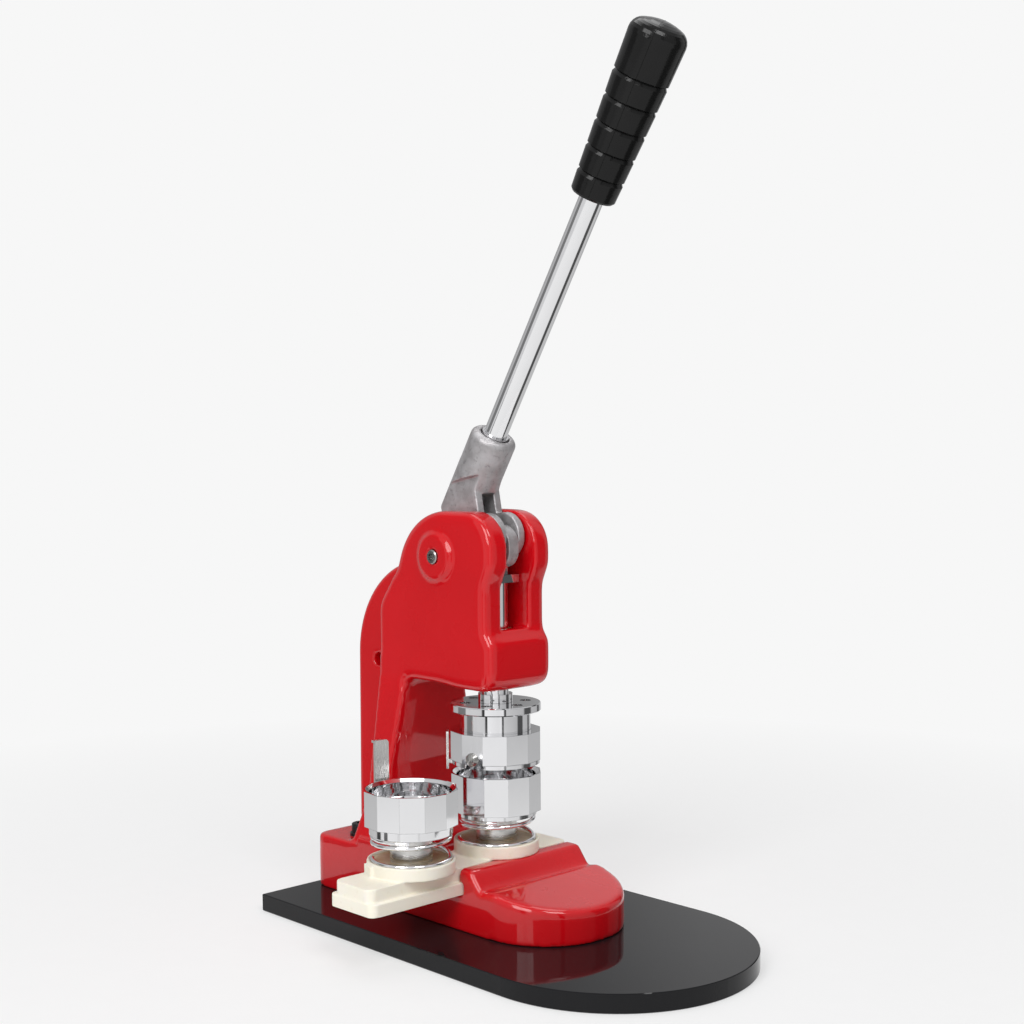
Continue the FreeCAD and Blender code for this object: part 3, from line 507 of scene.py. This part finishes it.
# ---------------------------------------------------------------- stage
def floor_material():
    """Pale floor: lit near the object, fading to the backdrop's white; mirrors see past it."""
    m = Nodes("floor")
    speck = m.noise(60.0, 4.0)
    m.put(m.bsdf.inputs["Base Color"], m.mix(speck, rgb(0.88, 0.88, 0.88), rgb(0.91, 0.91, 0.91)))
    m.put(m.bsdf.inputs["Roughness"], 0.7)
    glow = m.new("ShaderNodeEmission")
    glow.inputs["Color"].default_value = rgb(*BACKDROP)
    position = m.new("ShaderNodeNewGeometry")
    length = m.new("ShaderNodeVectorMath", operation="LENGTH")
    m.link(position.outputs["Position"], length.inputs[0])
    mixer = m.new("ShaderNodeMixShader")
    m.link(m.remap(length.outputs["Value"], 0.22, 0.70, 0.55, 1.0), mixer.inputs[0])
    m.link(m.bsdf.outputs[0], mixer.inputs[1])
    m.link(glow.outputs[0], mixer.inputs[2])
    clear = m.new("ShaderNodeBsdfTransparent")
    path = m.new("ShaderNodeLightPath")
    past = m.math("MULTIPLY", path.outputs["Is Glossy Ray"],
                  m.math("GREATER_THAN", length.outputs["Value"], 0.26))
    chooser = m.new("ShaderNodeMixShader")
    m.link(past, chooser.inputs[0])
    m.link(mixer.outputs[0], chooser.inputs[1])
    m.link(clear.outputs[0], chooser.inputs[2])
    m.link(chooser.outputs[0], m.tree.nodes["Material Output"].inputs["Surface"])
    return m.mat


def floor():
    mesh = bpy.data.meshes.new("floor")
    bm = bmesh.new()
    bmesh.ops.create_circle(bm, cap_ends=True, segments=96, radius=4.0)
    bm.to_mesh(mesh)
    bm.free()
    obj = bpy.data.objects.new("floor", mesh)
    bpy.context.scene.collection.objects.link(obj)
    obj.location.z = -0.0002
    mesh.materials.append(floor_material())


def area_light(name, place, size, power, target=(0, 0.02, 0.12)):
    data = bpy.data.lights.new(name, "AREA")
    data.shape = "RECTANGLE"
    data.size, data.size_y = size
    data.energy = power
    obj = bpy.data.objects.new(name, data)
    bpy.context.scene.collection.objects.link(obj)
    obj.location = place
    obj.rotation_mode = "QUATERNION"
    obj.rotation_quaternion = (Vector(target) - Vector(place)).to_track_quat("-Z", "Y")
    return obj


def studio_angle(tree, direction):
    """Angle of a direction round the object, from 0 to 1, 0.5 being towards the camera."""
    def dot(x, y):
        node = tree.nodes.new("ShaderNodeVectorMath")
        node.operation = "DOT_PRODUCT"
        tree.links.new(direction, node.inputs[0])
        node.inputs[1].default_value = (x, y, 0.0)
        return node.outputs["Value"]

    azimuth = math.radians(CAMERA_TURN)
    angle = tree.nodes.new("ShaderNodeMath")
    angle.operation = "ARCTAN2"
    tree.links.new(dot(math.cos(azimuth), math.sin(azimuth)), angle.inputs[0])
    tree.links.new(dot(math.sin(azimuth), -math.cos(azimuth)), angle.inputs[1])
    return map_range(tree, angle.outputs[0], -math.pi, math.pi)


def map_range(tree, value, start, end):
    node = tree.nodes.new("ShaderNodeMapRange")
    tree.links.new(value, node.inputs["Value"])
    node.inputs["From Min"].default_value = start
    node.inputs["From Max"].default_value = end
    return node.outputs["Result"]


def angle_ramp(tree, angle, stops, tint):
    """Grey levels round the object, from (degrees, level) stops."""
    node = tree.nodes.new("ShaderNodeValToRGB")
    tree.links.new(angle, node.inputs[0])
    elements = node.color_ramp.elements
    while len(elements) < len(stops):
        elements.new(0.5)
    for element, (degrees, value) in zip(elements, stops):
        element.position = (degrees + 180) / 360
        element.color = (value, value, value * tint, 1)
    return node.outputs[0]


def blended(tree, factor, first, second):
    """Colour mix; first and second are sockets or plain colours."""
    node = tree.nodes.new("ShaderNodeMix")
    node.data_type = "RGBA"
    tree.links.new(factor, node.inputs[0])
    for socket, value in ((node.inputs[6], first), (node.inputs[7], second)):
        if isinstance(value, tuple):
            socket.default_value = (*value, 1)
        else:
            tree.links.new(value, socket)
    return node.outputs[2]


def world():
    """Soft studio: plain to the camera, walls, ground and roof to mirrors, dim fill to the rest."""
    studio = bpy.data.worlds.new("studio")
    bpy.context.scene.world = studio
    studio.use_nodes = True
    tree = studio.node_tree
    background = tree.nodes["Background"]
    direction = tree.nodes.new("ShaderNodeTexCoord").outputs["Generated"]
    angle = studio_angle(tree, direction)
    split = tree.nodes.new("ShaderNodeSeparateXYZ")
    tree.links.new(direction, split.inputs[0])
    height = split.outputs["Z"]

    walls = angle_ramp(tree, angle, STUDIO, 1.01)
    ground = angle_ramp(tree, angle, GROUND, 1.0)
    sides = blended(tree, map_range(tree, height, -0.18, -0.26), walls, ground)
    mirrored = blended(tree, map_range(tree, height, 0.50, 0.75), sides, ROOF)
    path = tree.nodes.new("ShaderNodeLightPath")
    unseen = blended(tree, path.outputs["Is Glossy Ray"], FILL, mirrored)
    everything = blended(tree, path.outputs["Is Camera Ray"], unseen, BACKDROP)
    tree.links.new(everything, background.inputs["Color"])
    background.inputs["Strength"].default_value = 1.0


def camera():
    """Main camera: turned about the target, raised a little, slightly rolled."""
    azimuth = math.radians(CAMERA_TURN)
    elevation = math.radians(CAMERA_RISE)
    roll = math.radians(CAMERA_ROLL)
    back = Vector((math.sin(azimuth) * math.cos(elevation),
                   -math.cos(azimuth) * math.cos(elevation), math.sin(elevation)))
    right = Vector((math.cos(azimuth), math.sin(azimuth), 0.0))
    up = back.cross(right)
    right_rolled = math.cos(roll) * right + math.sin(roll) * up
    up_rolled = -math.sin(roll) * right + math.cos(roll) * up
    data = bpy.data.cameras.new("camera")
    obj = bpy.data.objects.new("camera", data)
    bpy.context.scene.collection.objects.link(obj)
    turn = Matrix((right_rolled, up_rolled, back)).transposed()
    place = Vector(CAMERA_TARGET) + back * CAMERA_DISTANCE
    obj.matrix_world = Matrix.Translation(place) @ turn.to_4x4()
    data.sensor_width = 36.0
    data.lens = CAMERA_LENS
    data.shift_x, data.shift_y = CAMERA_SHIFT
    data.clip_start = 0.01
    data.clip_end = 20.0
    bpy.context.scene.camera = obj


floor()
world()
camera()
area_light("key", (-1.7, -0.5, 1.25), (0.9, 1.5), 25)
area_light("front", (-0.35, -1.25, 1.7), (0.7, 0.8), 13)
area_light("top", (0.3, 0.3, 1.9), (1.2, 1.2), 9)
bpy.context.scene.view_settings.view_transform = "Standard"
